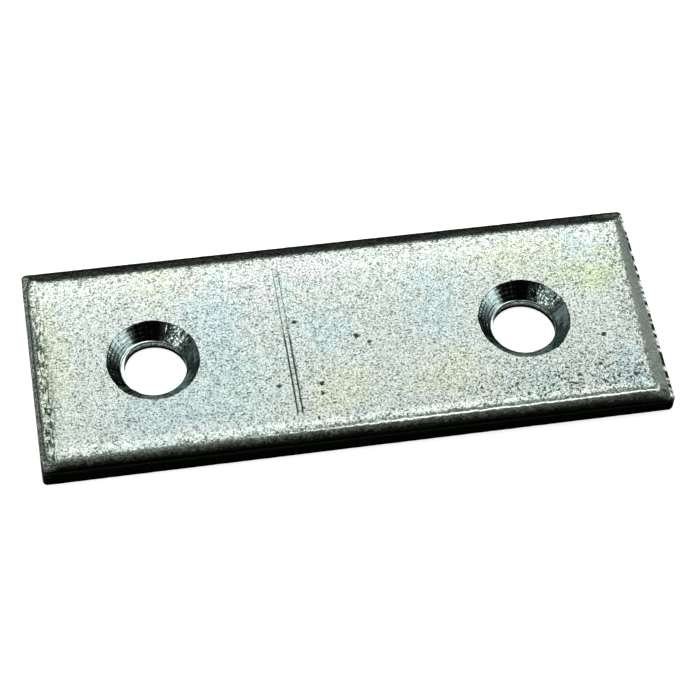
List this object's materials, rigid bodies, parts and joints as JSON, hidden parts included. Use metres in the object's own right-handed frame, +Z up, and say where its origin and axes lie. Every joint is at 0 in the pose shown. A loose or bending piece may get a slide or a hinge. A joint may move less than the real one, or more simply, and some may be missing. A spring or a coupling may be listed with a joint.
{
  "type": "extrusion joining plate",
  "caption": "Flat steel plate with countersunk screw holes that joins framing extrusions end to end.",
  "frame": {"origin": "midway between the screw holes' axes, on the underside that lies against the extrusions", "axes": "+X along the plate through both holes, +Y across it, +Z up out of the countersunk face"},
  "size_m": [0.0501, 0.0196, 0.002],
  "materials": {
    "zinc_plated_steel": "satin zinc plating with a pale blue and yellow passivated tint"
  },
  "bodies": {
    "root": {"joining_plate": "zinc_plated_steel"}
  },
  "joints": []
}
